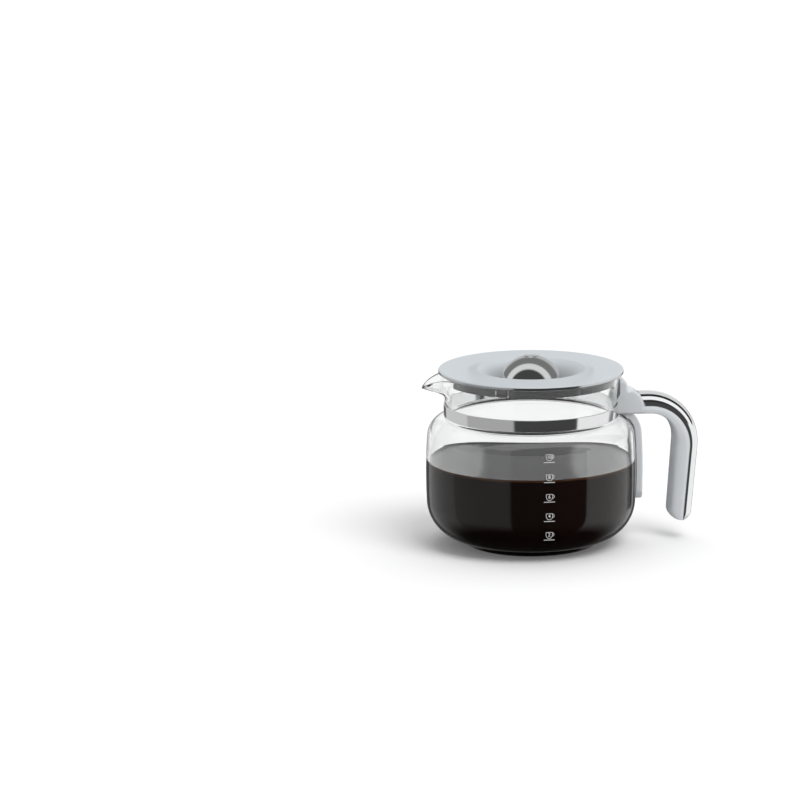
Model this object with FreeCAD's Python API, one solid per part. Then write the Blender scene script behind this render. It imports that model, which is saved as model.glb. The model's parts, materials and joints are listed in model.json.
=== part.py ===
import FreeCAD, Part
import math
import os

from FreeCAD import Vector

# Glass coffee jug with a lift-off lid, a steel neck band and a clamped handle.
# Millimetres and degrees. +Z is up, the handle points to +X and the spout to -X.
# The origin is the middle of the foot, on the face that stands on the table.

# Glass: a barrel-shaped belly between a rounded heel and a rounded shoulder
BELLY_R = 76.0          # widest outer radius
BELLY_Z = 52.0          # height of the widest ring
BULGE_R = 420.0         # radius of the barrel curve, seen from the side
HEEL_R = 29.0           # radius of the turn into the base
FOOT_R = 50.4           # outer radius of the foot
FOOT_H = 4.0            # height of the heel above the table
FOOT_ROUND = 6.0        # width of the foot's rounded edge
SHOULDER_R = 15.3       # radius of the turn into the neck
SHOULDER_TOP = 94.4     # height of the shoulder's crest
THROAT_ROUND = 1.5      # hollow turn between the shoulder and the band groove
GLASS_WALL = 2.2
GLASS_FLOOR = 2.6

# Neck: a groove for the band, then a flare up to the rim
NECK_R = 63.6
GROOVE_DEPTH = 2.3      # band groove in the neck
NECK_ROUND = 4.5        # both turns of the flare
NECK_H = 30.5           # shoulder crest to rim
RIM_ROUND = 1.0

# Spout: a beak pulled out of the neck, lower at its tip than the rim
SPOUT_REACH = 16.1      # past the neck's outside
SPOUT_DROP = 7.0        # rim to the lip of the tip
SPOUT_HALF_W = 17.8     # at the neck
SPOUT_TIP_HALF_W = 1.6  # pouring groove at the tip
SPOUT_DEPTH = 13.4      # rim to the underside at the neck
SPOUT_WALL = 1.8
SPOUT_LIP = 0.5         # depth of the pouring groove at the tip
SPOUT_ROOT = 0.45       # share of the reach that runs on into the neck

# Neck band: a steel strip, its ends turned out as two ears
BAND_H = 8.6
BAND_T = 0.8
BAND_FIT = 0.1          # band to glass
BAND_LIFT = 0.6         # shoulder crest to band
EAR_GAP = 3.0
EAR_LEN = 11.5
EAR_TRIM = 0.6          # ears narrower than the strip on each edge

# Clamp screw and nut that pull the ears together
CLAMP_R = 2.0
CLAMP_HEAD_R = 3.5
CLAMP_HEAD_H = 2.6
CLAMP_REACH = 7.0       # groove to the screw's axis
NUT_FLATS = 7.0
NUT_T = 3.2
SEAT_WALL = 3.0         # plastic between the ear and the screw's head
PLUG_T = 1.4
HOLE_FIT = 0.2          # radial room round a screw, an ear or a plug

# Handle bracket: lug on the neck, boss round the clamp, spine down the belly
BRACKET_GAP = 0.8       # glass to bracket
LUG_T = 5.1
LUG_DROP = 5.8          # rim to the lug's top
LUG_ROUND = 3.8
BOSS_STEP = 3.3         # boss above the arm
BOSS_RUN = 4.3          # slope from the boss down to the arm
BOSS_ROUND = 3.0
BOSS_FILLET = 1.2
SPINE_T = 4.4
SPINE_W = 15.6
SPINE_FOOT = 30.0       # height of its lower end
SPINE_EDGE = 1.4
SPINE_TOP_ANGLE = 62.0  # how far it follows the shoulder under the boss

# Pad between the spine's lower end and the glass
PAD_W = 9.0
PAD_H = 12.0
PAD_LIFT = 6.0          # spine's end to the pad
PAD_T = 1.7
PAD_FIT = 0.1

# Handle: an arm, a wide bend and a leg that leans in
HANDLE_W = 19.6
HANDLE_EDGE = 2.0       # rounding of the long edges
ARM_RISE = 8.8          # middle of the band to the arm's top
ARM_H = 14.2
BOSS_LEN = 13.5         # lug's face to the arm's root, at the seam
ROOT_SLANT = 26.0
OUTER_R = 37.4
INNER_R = 17.8
FINGER_GAP = 22.5
LEG_DEPTH = 17.6
LEG_SLANT = 5.2
LEG_CLEAR = 13.2        # above the table
TOE_ROUND = 6.0
HEEL_ROUND = 11.0

# Trim: a bright channel over the arm's top and the leg's back
TRIM_ARM_H = 8.7
TRIM_LEG_H = 5.9
TRIM_WALL = 1.5
TRIM_FIT = 0.2
SEAM_R = 29.9
RIB_H = 2.6             # rib of the grip inside the channel

# Tongue of the bracket under the trim, and the two screws that hold the grip to it
TONGUE_W = 13.0
TONGUE_T = 3.6
TONGUE_LEN = 9.5        # past the root, at the seam
TONGUE_SINK = 0.9       # below the seam
GRIP_SCREW_R = 1.3
GRIP_SCREW_HEAD_R = 2.5
GRIP_SCREW_HEAD_H = 1.6
GRIP_SCREW_PITCH = 7.0
GRIP_SCREW_BITE = 3.6   # into the grip
GRIP_SCREW_OUT = 5.4    # past the root

# Lid: a disc with a shallow funnel round a hole, and a collar under the hole
SEAL_GAP = 0.3          # rim to seal
SEAL_T = 0.9
SEAL_OVER = 0.6         # past the neck's outside
SEAL_ROOM = 0.3         # insert to seal
FLANGE_OVER = 3.2       # past the neck's outside
FLANGE_T = 2.6
FLANGE_ROUND = 0.9
FUNNEL_R = 40.2
FUNNEL_DEPTH = 5.8
LID_WALL = 2.0
HOLE_R = 24.5
COLLAR_H = 8.6

# Insert: a ring under the lid with sprung tongues and a pouring gap
INSERT_GAP = 0.8        # glass to insert
INSERT_WALL = 1.8
INSERT_DROP = 6.7       # flange to the insert's lower edge
INSERT_RING_W = 10.0
POUR_HALF_W = 16.0
SPRING_COUNT = 6        # places on the ring, one of which is the pouring gap
SPRING_W = 8.0
SPRING_SLOT = 1.2
SPRING_BEAD_R = 0.45
SPRING_BEAD_LIFT = 1.2

# Dome in the hole, on a carrier with three arms
DOME_R = 21.7
DOME_RISE = 8.45        # above the lid's top
DOME_WALL = 1.6
DOME_PAD_R = 6.5
DOME_PAD_H = 2.5        # under the screw's head
CAP_R = 5.0
CAP_T = 1.9
CAP_FIT = 0.1
DOME_SCREW_R = 1.5
DOME_SCREW_HEAD_R = 2.8
DOME_SCREW_HEAD_H = 1.9
DOME_SCREW_BITE = 8.5
CARRIER_T = 1.8
CARRIER_ARM_W = 5.0
CARRIER_ARMS = 3
POST_R = 4.0

EPS = 1e-4
OVERCUT = 5.0           # how far a cutting shape runs past the face it opens
FULL_TURN = 360.0
HALF_TURN = 180.0
QUARTER_TURN = 90.0
HEX = 6


def around(centre, radius, angle):
    """Point at an angle on a circle in the XZ plane."""
    turn = math.radians(angle)
    return Vector(centre.x + radius * math.cos(turn), 0, centre.z + radius * math.sin(turn))


class Path:
    """A chain of straight lines and arcs in the XZ plane."""

    def __init__(self, x, z):
        self.start = Vector(x, 0, z)
        self.at = self.start
        self.edges = []

    def line(self, x, z):
        """Straight line to a point."""
        end = Vector(x, 0, z)
        if self.at.distanceToPoint(end) > EPS:
            self.edges.append(Part.makeLine(self.at, end))
            self.at = end
        return self

    def arc(self, centre, radius, first, last):
        """Line to the start of an arc, then the arc from angle first to angle last."""
        points = [around(centre, radius, angle) for angle in (first, (first + last) / 2, last)]
        self.line(points[0].x, points[0].z)
        self.edges.append(Part.Arc(*points).toShape())
        self.at = points[-1]
        return self

    def face(self):
        """Face inside the closed chain."""
        self.line(self.start.x, self.start.z)
        return Part.Face(Part.Wire(self.edges))


def rounded(*corners):
    """Face of a polygon in the XZ plane. Each corner is (x, z) or (x, z, radius)."""
    points = [Vector(corner[0], 0, corner[1]) for corner in corners]
    radii = [corner[2] if len(corner) > 2 else 0.0 for corner in corners]
    spans = []
    for index, corner in enumerate(points):
        back = (points[index - 1] - corner).normalize()
        ahead = (points[(index + 1) % len(points)] - corner).normalize()
        half = back.getAngle(ahead) / 2
        cut = radii[index] / math.tan(half)
        middle = corner
        if radii[index]:
            inward = (back + ahead).normalize()
            middle = corner + inward * (radii[index] / math.sin(half) - radii[index])
        spans.append((corner + back * cut, middle, corner + ahead * cut))
    edges = []
    for index, (first, middle, last) in enumerate(spans):
        if radii[index]:
            edges.append(Part.Arc(first, middle, last).toShape())
        following = spans[(index + 1) % len(spans)][0]
        if last.distanceToPoint(following) > EPS:
            edges.append(Part.makeLine(last, following))
    return Part.Face(Part.Wire(edges))


def turned(face):
    """Solid of revolution of a face about the jug's axis."""
    return face.revolve(Vector(0, 0, 0), Vector(0, 0, 1), FULL_TURN)


def prism(face, width):
    """Face of the XZ plane as a solid, centred across the plane."""
    solid = face.extrude(Vector(0, width, 0))
    solid.translate(Vector(0, -width / 2, 0))
    return solid


def soft_prism(face, width, radius):
    """Prism with the long edges of both sides rounded, but not those of its end at low x."""
    solid = prism(face, width)
    low_x = solid.BoundBox.XMin + EPS
    edges = [edge for edge in solid.Edges
             if all(abs(abs(vertex.Y) - width / 2) < EPS for vertex in edge.Vertexes)
             and edge.BoundBox.XMax > low_x]
    return solid.makeFillet(radius, edges)


def block(x0, x1, y0, y1, z0, z1):
    """Box between two corners."""
    return Part.makeBox(x1 - x0, y1 - y0, z1 - z0, Vector(x0, y0, z0))


def rod(radius, foot, top):
    """Cylinder from one point to another."""
    return Part.makeCylinder(radius, foot.distanceToPoint(top), foot, top - foot)


def tube(inner, outer, z0, z1):
    """Upright ring about the jug's axis."""
    foot = Vector(0, 0, z0)
    top = Vector(0, 0, z1)
    return rod(outer, foot, top).cut(rod(inner, foot, top))


def spun(shape, angle):
    """Copy of a shape turned about the jug's axis."""
    copy = shape.copy()
    copy.rotate(Vector(0, 0, 0), Vector(0, 0, 1), angle)
    return copy


# Heights of the neck and what sits on it
RIM_Z = SHOULDER_TOP + NECK_H
GROOVE_R = NECK_R - GROOVE_DEPTH
BAND_Z = SHOULDER_TOP + BAND_LIFT
BAND_TOP = BAND_Z + BAND_H
BAND_MID = BAND_Z + BAND_H / 2
BAND_IN = GROOVE_R + BAND_FIT
BAND_OUT = BAND_IN + BAND_T
NECK_IN = NECK_R - GLASS_WALL
FLANGE_Z = RIM_Z + SEAL_GAP + SEAL_T
LID_TOP = FLANGE_Z + FLANGE_T
FLANGE_R = NECK_R + FLANGE_OVER
INSERT_R = NECK_IN - INSERT_GAP
COLLAR_Z = LID_TOP - FUNNEL_DEPTH - COLLAR_H

# Centres and turns of the glass profile, shared by every wall that follows it
BELLY_C = Vector(BELLY_R - BULGE_R, 0, BELLY_Z)
HEEL_TURN = math.degrees(math.asin((FOOT_H + HEEL_R - BELLY_Z) / (BULGE_R - HEEL_R)))
HEEL_C = around(BELLY_C, BULGE_R - HEEL_R, HEEL_TURN)
SHOULDER_RISE = SHOULDER_TOP - SHOULDER_R - BELLY_Z
SHOULDER_TURN = math.degrees(math.asin(SHOULDER_RISE / (BULGE_R - SHOULDER_R)))
SHOULDER_C = around(BELLY_C, BULGE_R - SHOULDER_R, SHOULDER_TURN)
THROAT_X = GROOVE_R + THROAT_ROUND
THROAT_TURN = math.degrees(math.acos((THROAT_X - SHOULDER_C.x) / (SHOULDER_R + THROAT_ROUND)))
THROAT_C = around(SHOULDER_C, SHOULDER_R + THROAT_ROUND, THROAT_TURN)
FLARE_TURN = math.degrees(math.acos(1 - GROOVE_DEPTH / (2 * NECK_ROUND)))
FLARE_LOW_C = Vector(GROOVE_R + NECK_ROUND, 0, BAND_TOP + BAND_LIFT)
FLARE_RISE = 2 * NECK_ROUND * math.sin(math.radians(FLARE_TURN))
FLARE_HIGH_C = Vector(NECK_R - NECK_ROUND, 0, FLARE_LOW_C.z + FLARE_RISE)

# Lines of the handle
SPINE_FACE = BELLY_R + BRACKET_GAP + SPINE_T
ARM_TOP = BAND_MID + ARM_RISE
ARM_UNDER = ARM_TOP - ARM_H
SEAM_Z = ARM_TOP - TRIM_ARM_H
LUG_X = NECK_R + BRACKET_GAP + LUG_T
ROOT_X = LUG_X + BOSS_LEN
HANDLE_REACH = SPINE_FACE + FINGER_GAP + LEG_DEPTH
CLAMP_X = GROOVE_R + CLAMP_REACH
EAR_X = GROOVE_R + EAR_LEN
EAR_Y = EAR_GAP / 2 + BAND_T
TONGUE_Z = SEAM_Z - TONGUE_SINK
GRIP_SCREW_X = ROOT_X + GRIP_SCREW_OUT


def glass_side(path, inset):
    """Heel, belly, shoulder, groove and flare of the glass, moved in by inset."""
    heel = HEEL_R - inset
    foot_turn = -math.degrees(math.acos((FOOT_R - inset - HEEL_C.x) / heel))
    path.arc(HEEL_C, heel, foot_turn, HEEL_TURN)
    path.arc(BELLY_C, BULGE_R - inset, HEEL_TURN, SHOULDER_TURN)
    path.arc(SHOULDER_C, SHOULDER_R - inset, SHOULDER_TURN, THROAT_TURN)
    path.arc(THROAT_C, THROAT_ROUND + inset, HALF_TURN + THROAT_TURN, HALF_TURN)
    path.arc(FLARE_LOW_C, NECK_ROUND + inset, HALF_TURN, HALF_TURN - FLARE_TURN)
    path.arc(FLARE_HIGH_C, NECK_ROUND - inset, -FLARE_TURN, 0)
    return path


def glass_body(inset, floor, top):
    """Solid inside the glass profile moved in by inset, from a floor to a flat top."""
    flat = FOOT_R - FOOT_ROUND
    heel = HEEL_R - inset
    across = FOOT_R - inset - HEEL_C.x
    width = FOOT_ROUND - inset
    height = HEEL_C.z - math.sqrt(heel ** 2 - across ** 2) - floor
    radius = (width ** 2 + height ** 2) / (2 * height)
    foot_c = Vector(flat, 0, floor + radius)
    path = Path(0, floor)
    path.arc(foot_c, radius, -QUARTER_TURN, math.degrees(math.atan2(height - radius, width)))
    glass_side(path, inset)
    path.line(NECK_R - inset, top)
    path.line(0, top)
    return turned(path.face())


def beak_station(share):
    """Place, half width, lip and underside of the spout at a share of its reach."""
    tip_half = SPOUT_TIP_HALF_W + SPOUT_WALL
    tip_under = RIM_Z - SPOUT_DROP - SPOUT_LIP - SPOUT_WALL
    root_under = RIM_Z - SPOUT_DEPTH
    half = SPOUT_HALF_W + (tip_half - SPOUT_HALF_W) * share
    lip = RIM_Z - SPOUT_DROP * max(share, 0.0) ** 2
    under = root_under + (tip_under - root_under) * share
    return -NECK_R - SPOUT_REACH * share, half, lip, under


def beak_wire(share, inset, top):
    """Rounded trough across the spout, closed by its lip or by a higher top."""
    x, half, lip, under = beak_station(share)
    half -= inset
    left = Vector(x, -half, lip)
    right = Vector(x, half, lip)
    edges = [Part.Arc(left, Vector(x, 0, under + inset), right).toShape()]
    if top > lip:
        over_right = Vector(x, half, top)
        over_left = Vector(x, -half, top)
        edges += [Part.makeLine(right, over_right), Part.makeLine(over_right, over_left),
                  Part.makeLine(over_left, left)]
    else:
        edges.append(Part.makeLine(right, left))
    return Part.Wire(edges)


def make_glass_jug():
    """Blown jug with its beak."""
    cavity = glass_body(GLASS_WALL, GLASS_FLOOR, RIM_Z + OVERCUT)
    shell = glass_body(0, 0, RIM_Z).cut(cavity)
    rim = [edge for edge in shell.Edges
           if all(abs(vertex.Z - RIM_Z) < EPS for vertex in edge.Vertexes)]
    shell = shell.makeFillet(min(RIM_ROUND, GLASS_WALL / 2 - EPS), rim)
    shares = [-SPOUT_ROOT, 0, SPOUT_ROOT, (1 + SPOUT_ROOT) / 2, 1]
    beak = Part.makeLoft([beak_wire(share, 0, 0) for share in shares], True)
    trough_top = RIM_Z + OVERCUT
    trough = Part.makeLoft([beak_wire(share, SPOUT_WALL, trough_top) for share in shares], True)
    mouth = Part.Face(beak_wire(1, SPOUT_WALL, trough_top)).extrude(Vector(-OVERCUT, 0, 0))
    return shell.fuse(beak.cut(cavity)).cut(trough.fuse(mouth)).removeSplitter()


def clamp_line(y0, y1):
    """End points of a stretch of the clamp screw's axis."""
    return Vector(CLAMP_X, y0, BAND_MID), Vector(CLAMP_X, y1, BAND_MID)


def make_neck_band():
    """Strip round the groove with two drilled ears."""
    ring = tube(BAND_IN, BAND_OUT, BAND_Z, BAND_TOP)
    ring = ring.cut(block(0, BAND_OUT + OVERCUT, -EAR_GAP / 2, EAR_GAP / 2, BAND_Z, BAND_TOP))
    low = BAND_Z + EAR_TRIM
    high = BAND_TOP - EAR_TRIM
    for y0, y1 in ((EAR_GAP / 2, EAR_Y), (-EAR_Y, -EAR_GAP / 2)):
        ring = ring.fuse(block(BAND_IN, EAR_X, y0, y1, low, high))
    return ring.cut(rod(CLAMP_R + HOLE_FIT, *clamp_line(-EAR_Y, EAR_Y))).removeSplitter()


def hex_prism(flats, y0, y1):
    """Hexagonal bar along the clamp screw's axis."""
    radius = flats / 2 / math.cos(math.pi / HEX)
    centre = Vector(CLAMP_X, 0, BAND_MID)
    corners = [around(centre, radius, FULL_TURN / HEX * side) for side in range(HEX)]
    bar = Part.Face(Part.makePolygon(corners + corners[:1])).extrude(Vector(0, y1 - y0, 0))
    bar.translate(Vector(0, y0, 0))
    return bar


NUT_Y = -EAR_Y - HOLE_FIT
HEAD_Y = EAR_Y + HOLE_FIT + SEAT_WALL


def make_clamp_screw():
    """Screw across the ears with its head on the +Y side."""
    head = rod(CLAMP_HEAD_R, *clamp_line(HEAD_Y, HEAD_Y + CLAMP_HEAD_H))
    return head.fuse(rod(CLAMP_R, *clamp_line(NUT_Y - NUT_T, HEAD_Y))).removeSplitter()


def make_clamp_nut():
    """Hexagonal nut held in the boss."""
    return hex_prism(NUT_FLATS, NUT_Y - NUT_T, NUT_Y).cut(rod(CLAMP_R, *clamp_line(NUT_Y - NUT_T, NUT_Y)))


def make_screw_plug():
    """Flush plug over the clamp screw's head."""
    return rod(CLAMP_HEAD_R + HOLE_FIT, *clamp_line(HANDLE_W / 2 - PLUG_T, HANDLE_W / 2))


def leg_x(z, depth):
    """Place of the leg's back, or of a line at a depth inside it, at a height."""
    lean = math.radians(LEG_SLANT)
    bend_x = HANDLE_REACH - OUTER_R
    bend_z = ARM_TOP - OUTER_R
    offset = OUTER_R - depth + bend_x * math.cos(lean) - bend_z * math.sin(lean)
    return (offset + z * math.sin(lean)) / math.cos(lean)


def root_x(z):
    """Place of the slanted root of the arm at a height."""
    return ROOT_X + (SEAM_Z - z) * math.tan(math.radians(ROOT_SLANT))


def handle_face(inset):
    """Side view of the arm and leg, its outer line moved in by inset."""
    lean = math.radians(LEG_SLANT)
    top = ARM_TOP - inset
    toe_x = leg_x(LEG_CLEAR, 0)
    inner_toe = (toe_x - LEG_DEPTH * math.cos(lean), LEG_CLEAR + LEG_DEPTH * math.sin(lean))
    lift = inset / math.cos(lean)
    return rounded(
        (GROOVE_R, top),
        (leg_x(top, inset), top, OUTER_R - inset),
        (leg_x(LEG_CLEAR + lift, inset), LEG_CLEAR + lift, TOE_ROUND - inset),
        (inner_toe[0], inner_toe[1] + lift, HEEL_ROUND),
        (leg_x(ARM_UNDER, LEG_DEPTH), ARM_UNDER, INNER_R),
        (GROOVE_R, ARM_UNDER),
    )


def before_root():
    """Everything on the jug's side of the arm's slanted root."""
    high = ARM_TOP + OVERCUT
    low = ARM_UNDER - OVERCUT
    face = rounded((0, high), (root_x(high), high), (root_x(low), low), (0, low))
    return prism(face, HANDLE_W + OVERCUT)


def handle_bar():
    """Arm and leg as one bar, from the slanted root on."""
    return soft_prism(handle_face(0), HANDLE_W, HANDLE_EDGE).cut(before_root())


def inside_seam(grow):
    """Everything on the fingers' side of the seam between grip and trim, grown outwards."""
    top = SEAM_Z + grow
    depth = TRIM_LEG_H - grow
    return prism(rounded((0, top), (leg_x(top, depth), top, SEAM_R + grow),
                         (leg_x(-OVERCUT, depth), -OVERCUT), (0, -OVERCUT)), HANDLE_W + OVERCUT)


def channel_core(gap):
    """Space inside the trim's channel, smaller by a gap on every wall."""
    return prism(handle_face(TRIM_WALL + gap), HANDLE_W - 2 * (TRIM_WALL + gap))


def tongue(gap):
    """Tongue of the bracket that lies on the grip, grown by a gap."""
    return block(root_x(TONGUE_Z + TONGUE_T) - OVERCUT, ROOT_X + TONGUE_LEN + gap,
                 -TONGUE_W / 2 - gap, TONGUE_W / 2 + gap, TONGUE_Z, TONGUE_Z + TONGUE_T + gap)


def grip_screw_axes():
    """Foot of each grip screw and the seat of its head."""
    for y in (-GRIP_SCREW_PITCH / 2, GRIP_SCREW_PITCH / 2):
        yield (Vector(GRIP_SCREW_X, y, TONGUE_Z - GRIP_SCREW_BITE),
               Vector(GRIP_SCREW_X, y, TONGUE_Z + TONGUE_T))


def make_handle_trim():
    """Bright channel over the arm and leg, open towards the grip."""
    return handle_bar().cut(inside_seam(0)).cut(channel_core(0))


def make_handle_grip():
    """Moulded grip with a rib inside the trim and a seat for the bracket's tongue."""
    rib = channel_core(TRIM_FIT).common(inside_seam(RIB_H)).cut(inside_seam(0))
    grip = handle_bar().common(inside_seam(0)).fuse(rib.cut(before_root())).cut(tongue(TRIM_FIT))
    for foot, seat in grip_screw_axes():
        grip = grip.cut(rod(GRIP_SCREW_R, foot, seat))
    return grip.removeSplitter()


def make_grip_screws():
    """Two screws down through the tongue."""
    screws = []
    for foot, seat in grip_screw_axes():
        head = rod(GRIP_SCREW_HEAD_R, seat, seat + Vector(0, 0, GRIP_SCREW_HEAD_H))
        screws.append(head.fuse(rod(GRIP_SCREW_R, foot, seat)).removeSplitter())
    return Part.makeCompound(screws)


def spine_face():
    """Side view of the spine: a strip that follows the belly and the shoulder."""
    lower_turn = math.degrees(math.asin((SPINE_FOOT - BELLY_Z) / BULGE_R))
    outer = BRACKET_GAP + SPINE_T
    path = Path(BELLY_R - GLASS_WALL, SPINE_FOOT)
    path.arc(BELLY_C, BULGE_R + outer, lower_turn, SHOULDER_TURN)
    path.arc(SHOULDER_C, SHOULDER_R + outer, SHOULDER_TURN, SPINE_TOP_ANGLE)
    path.line(SHOULDER_C.x, SHOULDER_C.z)
    return path.face()


def make_spine():
    """Spine with rounded back edges and a round lower end."""
    strip = prism(spine_face(), SPINE_W)
    back = [edge for edge in strip.Edges
            if edge.BoundBox.YLength < EPS and edge.BoundBox.XMin > SHOULDER_C.x + SHOULDER_R / 2
            and edge.BoundBox.ZLength > SPINE_T]
    strip = strip.makeFillet(min(SPINE_EDGE, SPINE_T / 2), back)
    half = SPINE_W / 2
    end = Vector(BELLY_R - SPINE_W, 0, SPINE_FOOT + half)
    window = rod(half, end, end + Vector(2 * SPINE_W, 0, 0))
    window = window.fuse(block(0, SPINE_FACE + half, -half, half, end.z, RIM_Z))
    return strip.common(window)


def boss_face():
    """Side view of the lug on the neck and the boss in front of the arm."""
    inside = GROOVE_R - GLASS_WALL
    boss_top = ARM_TOP + BOSS_STEP
    return rounded(
        (inside, RIM_Z - LUG_DROP),
        (LUG_X, RIM_Z - LUG_DROP, LUG_ROUND),
        (LUG_X, boss_top, BOSS_FILLET),
        (root_x(ARM_TOP) - BOSS_RUN, boss_top, BOSS_ROUND),
        (root_x(ARM_TOP), ARM_TOP),
        (root_x(ARM_UNDER), ARM_UNDER),
        (inside, ARM_UNDER),
    )


def pad_shape(gap):
    """Curved pad on the belly behind the spine, grown by a gap."""
    low = SPINE_FOOT + PAD_LIFT - gap
    window = block(0, SPINE_FACE, -PAD_W / 2 - gap, PAD_W / 2 + gap, low, low + PAD_H + 2 * gap)
    outer = glass_body(-PAD_T - gap, 0, RIM_Z)
    return window.common(outer.cut(glass_body(gap - PAD_FIT, 0, RIM_Z)))


def make_handle_bracket():
    """Lug, boss and spine in one moulding, hollowed for the band and its clamp."""
    bracket = soft_prism(boss_face(), HANDLE_W, HANDLE_EDGE).fuse(make_spine())
    bracket = bracket.fuse(tongue(0))
    bracket = bracket.cut(glass_body(-BRACKET_GAP, 0, RIM_Z))
    room = BAND_OUT + HOLE_FIT
    foot = Vector(0, 0, BAND_Z - HOLE_FIT)
    bracket = bracket.cut(rod(room, foot, foot + Vector(0, 0, BAND_H + 2 * HOLE_FIT)))
    slot_y = EAR_Y + HOLE_FIT
    bracket = bracket.cut(block(GROOVE_R, EAR_X + HOLE_FIT, -slot_y, slot_y,
                                BAND_Z - HOLE_FIT, BAND_TOP + HOLE_FIT))
    bracket = bracket.cut(hex_prism(NUT_FLATS + HOLE_FIT, NUT_Y - NUT_T - HOLE_FIT, 0))
    bracket = bracket.cut(rod(CLAMP_R + HOLE_FIT, *clamp_line(NUT_Y, HEAD_Y)))
    bracket = bracket.cut(rod(CLAMP_HEAD_R + HOLE_FIT, *clamp_line(HEAD_Y, HANDLE_W)))
    for axis in grip_screw_axes():
        bracket = bracket.cut(rod(GRIP_SCREW_R, *axis))
    return bracket.cut(pad_shape(PAD_FIT)).removeSplitter()


def make_spine_pad():
    """Soft pad that keeps the spine off the glass."""
    return pad_shape(0)


def make_lid_seal():
    """Flat ring between the lid and the rim."""
    return tube(INSERT_R + SEAL_ROOM, NECK_R + SEAL_OVER, FLANGE_Z - SEAL_T, FLANGE_Z)


def make_lid_cover():
    """Disc with its funnel and the collar round the hole."""
    lip_z = LID_TOP - FUNNEL_DEPTH
    collar_r = HOLE_R + LID_WALL
    slope = FUNNEL_DEPTH / (FUNNEL_R - HOLE_R)
    under_x = FUNNEL_R + LID_WALL
    under_z = FLANGE_Z - slope * (under_x - collar_r)
    return turned(rounded(
        (HOLE_R, COLLAR_Z),
        (HOLE_R, lip_z, FLANGE_ROUND),
        (FUNNEL_R, LID_TOP, FLANGE_ROUND),
        (FLANGE_R, LID_TOP, FLANGE_ROUND),
        (FLANGE_R, FLANGE_Z, FLANGE_ROUND / 2),
        (under_x, FLANGE_Z),
        (collar_r, under_z),
        (collar_r, COLLAR_Z),
    ))


def make_lid_insert():
    """Skirt with sprung tongues and a gap for pouring, under a flat ring."""
    low = FLANGE_Z - INSERT_DROP
    skirt_in = INSERT_R - INSERT_WALL
    ring = tube(INSERT_R - INSERT_RING_W, INSERT_R, FLANGE_Z - INSERT_WALL, FLANGE_Z)
    ring = ring.fuse(tube(skirt_in, INSERT_R, low, FLANGE_Z))
    under_ring = FLANGE_Z - INSERT_WALL
    bead_z = low + SPRING_BEAD_LIFT
    for place in range(SPRING_COUNT):
        turn = FULL_TURN / SPRING_COUNT * place
        if abs(turn - HALF_TURN) < EPS:
            ring = ring.cut(block(-INSERT_R - OVERCUT, 0, -POUR_HALF_W, POUR_HALF_W, low, under_ring))
            continue
        outer = SPRING_W / 2 + SPRING_SLOT
        for y0, y1 in ((-outer, -SPRING_W / 2), (SPRING_W / 2, outer)):
            slot = block(skirt_in - INSERT_WALL, INSERT_R + OVERCUT, y0, y1, low, under_ring)
            ring = ring.cut(spun(slot, turn))
        bead_x = math.sqrt(INSERT_R ** 2 - (SPRING_W / 2) ** 2)
        bead = rod(SPRING_BEAD_R, Vector(bead_x, -SPRING_W / 2, bead_z), Vector(bead_x, SPRING_W / 2, bead_z))
        ring = ring.fuse(spun(bead, turn))
    return ring.removeSplitter()


POLE_Z = LID_TOP + DOME_RISE
DOME_C = Vector(0, 0, POLE_Z - DOME_R)
CAP_SEAT = POLE_Z - CAP_T
SCREW_SEAT = CAP_SEAT - DOME_SCREW_HEAD_H - CAP_FIT
POST_TOP = SCREW_SEAT - DOME_PAD_H
HUB_TOP = COLLAR_Z


def dome_body(radius, foot):
    """Half ball on a short upright wall."""
    path = Path(0, foot)
    path.line(radius, foot)
    path.arc(DOME_C, radius, 0, QUARTER_TURN)
    return turned(path.face())


def make_lid_dome():
    """Hollow dome with a pad for its screw and a seat for the cap."""
    ball = dome_body(DOME_R, HUB_TOP)
    pad = rod(DOME_PAD_R, Vector(0, 0, POST_TOP), Vector(0, 0, POLE_Z))
    dome = ball.cut(dome_body(DOME_R - DOME_WALL, HUB_TOP)).fuse(pad.common(ball))
    dome = dome.cut(rod(CAP_R + CAP_FIT, Vector(0, 0, CAP_SEAT), Vector(0, 0, POLE_Z)))
    head_room = DOME_SCREW_HEAD_R + HOLE_FIT
    dome = dome.cut(rod(head_room, Vector(0, 0, SCREW_SEAT), Vector(0, 0, POLE_Z)))
    return dome.cut(rod(DOME_SCREW_R + HOLE_FIT, Vector(0, 0, POST_TOP), Vector(0, 0, POLE_Z))).removeSplitter()


def make_dome_cap():
    """Small cap that closes the dome over its screw, flush with the ball."""
    return rod(CAP_R, Vector(0, 0, CAP_SEAT), Vector(0, 0, POLE_Z)).common(dome_body(DOME_R, HUB_TOP))


def make_dome_screw():
    """Screw from the dome's top into the carrier's post."""
    seat = Vector(0, 0, SCREW_SEAT)
    head = rod(DOME_SCREW_HEAD_R, seat, seat + Vector(0, 0, DOME_SCREW_HEAD_H))
    return head.fuse(rod(DOME_SCREW_R, Vector(0, 0, POST_TOP - DOME_SCREW_BITE), seat)).removeSplitter()


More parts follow.
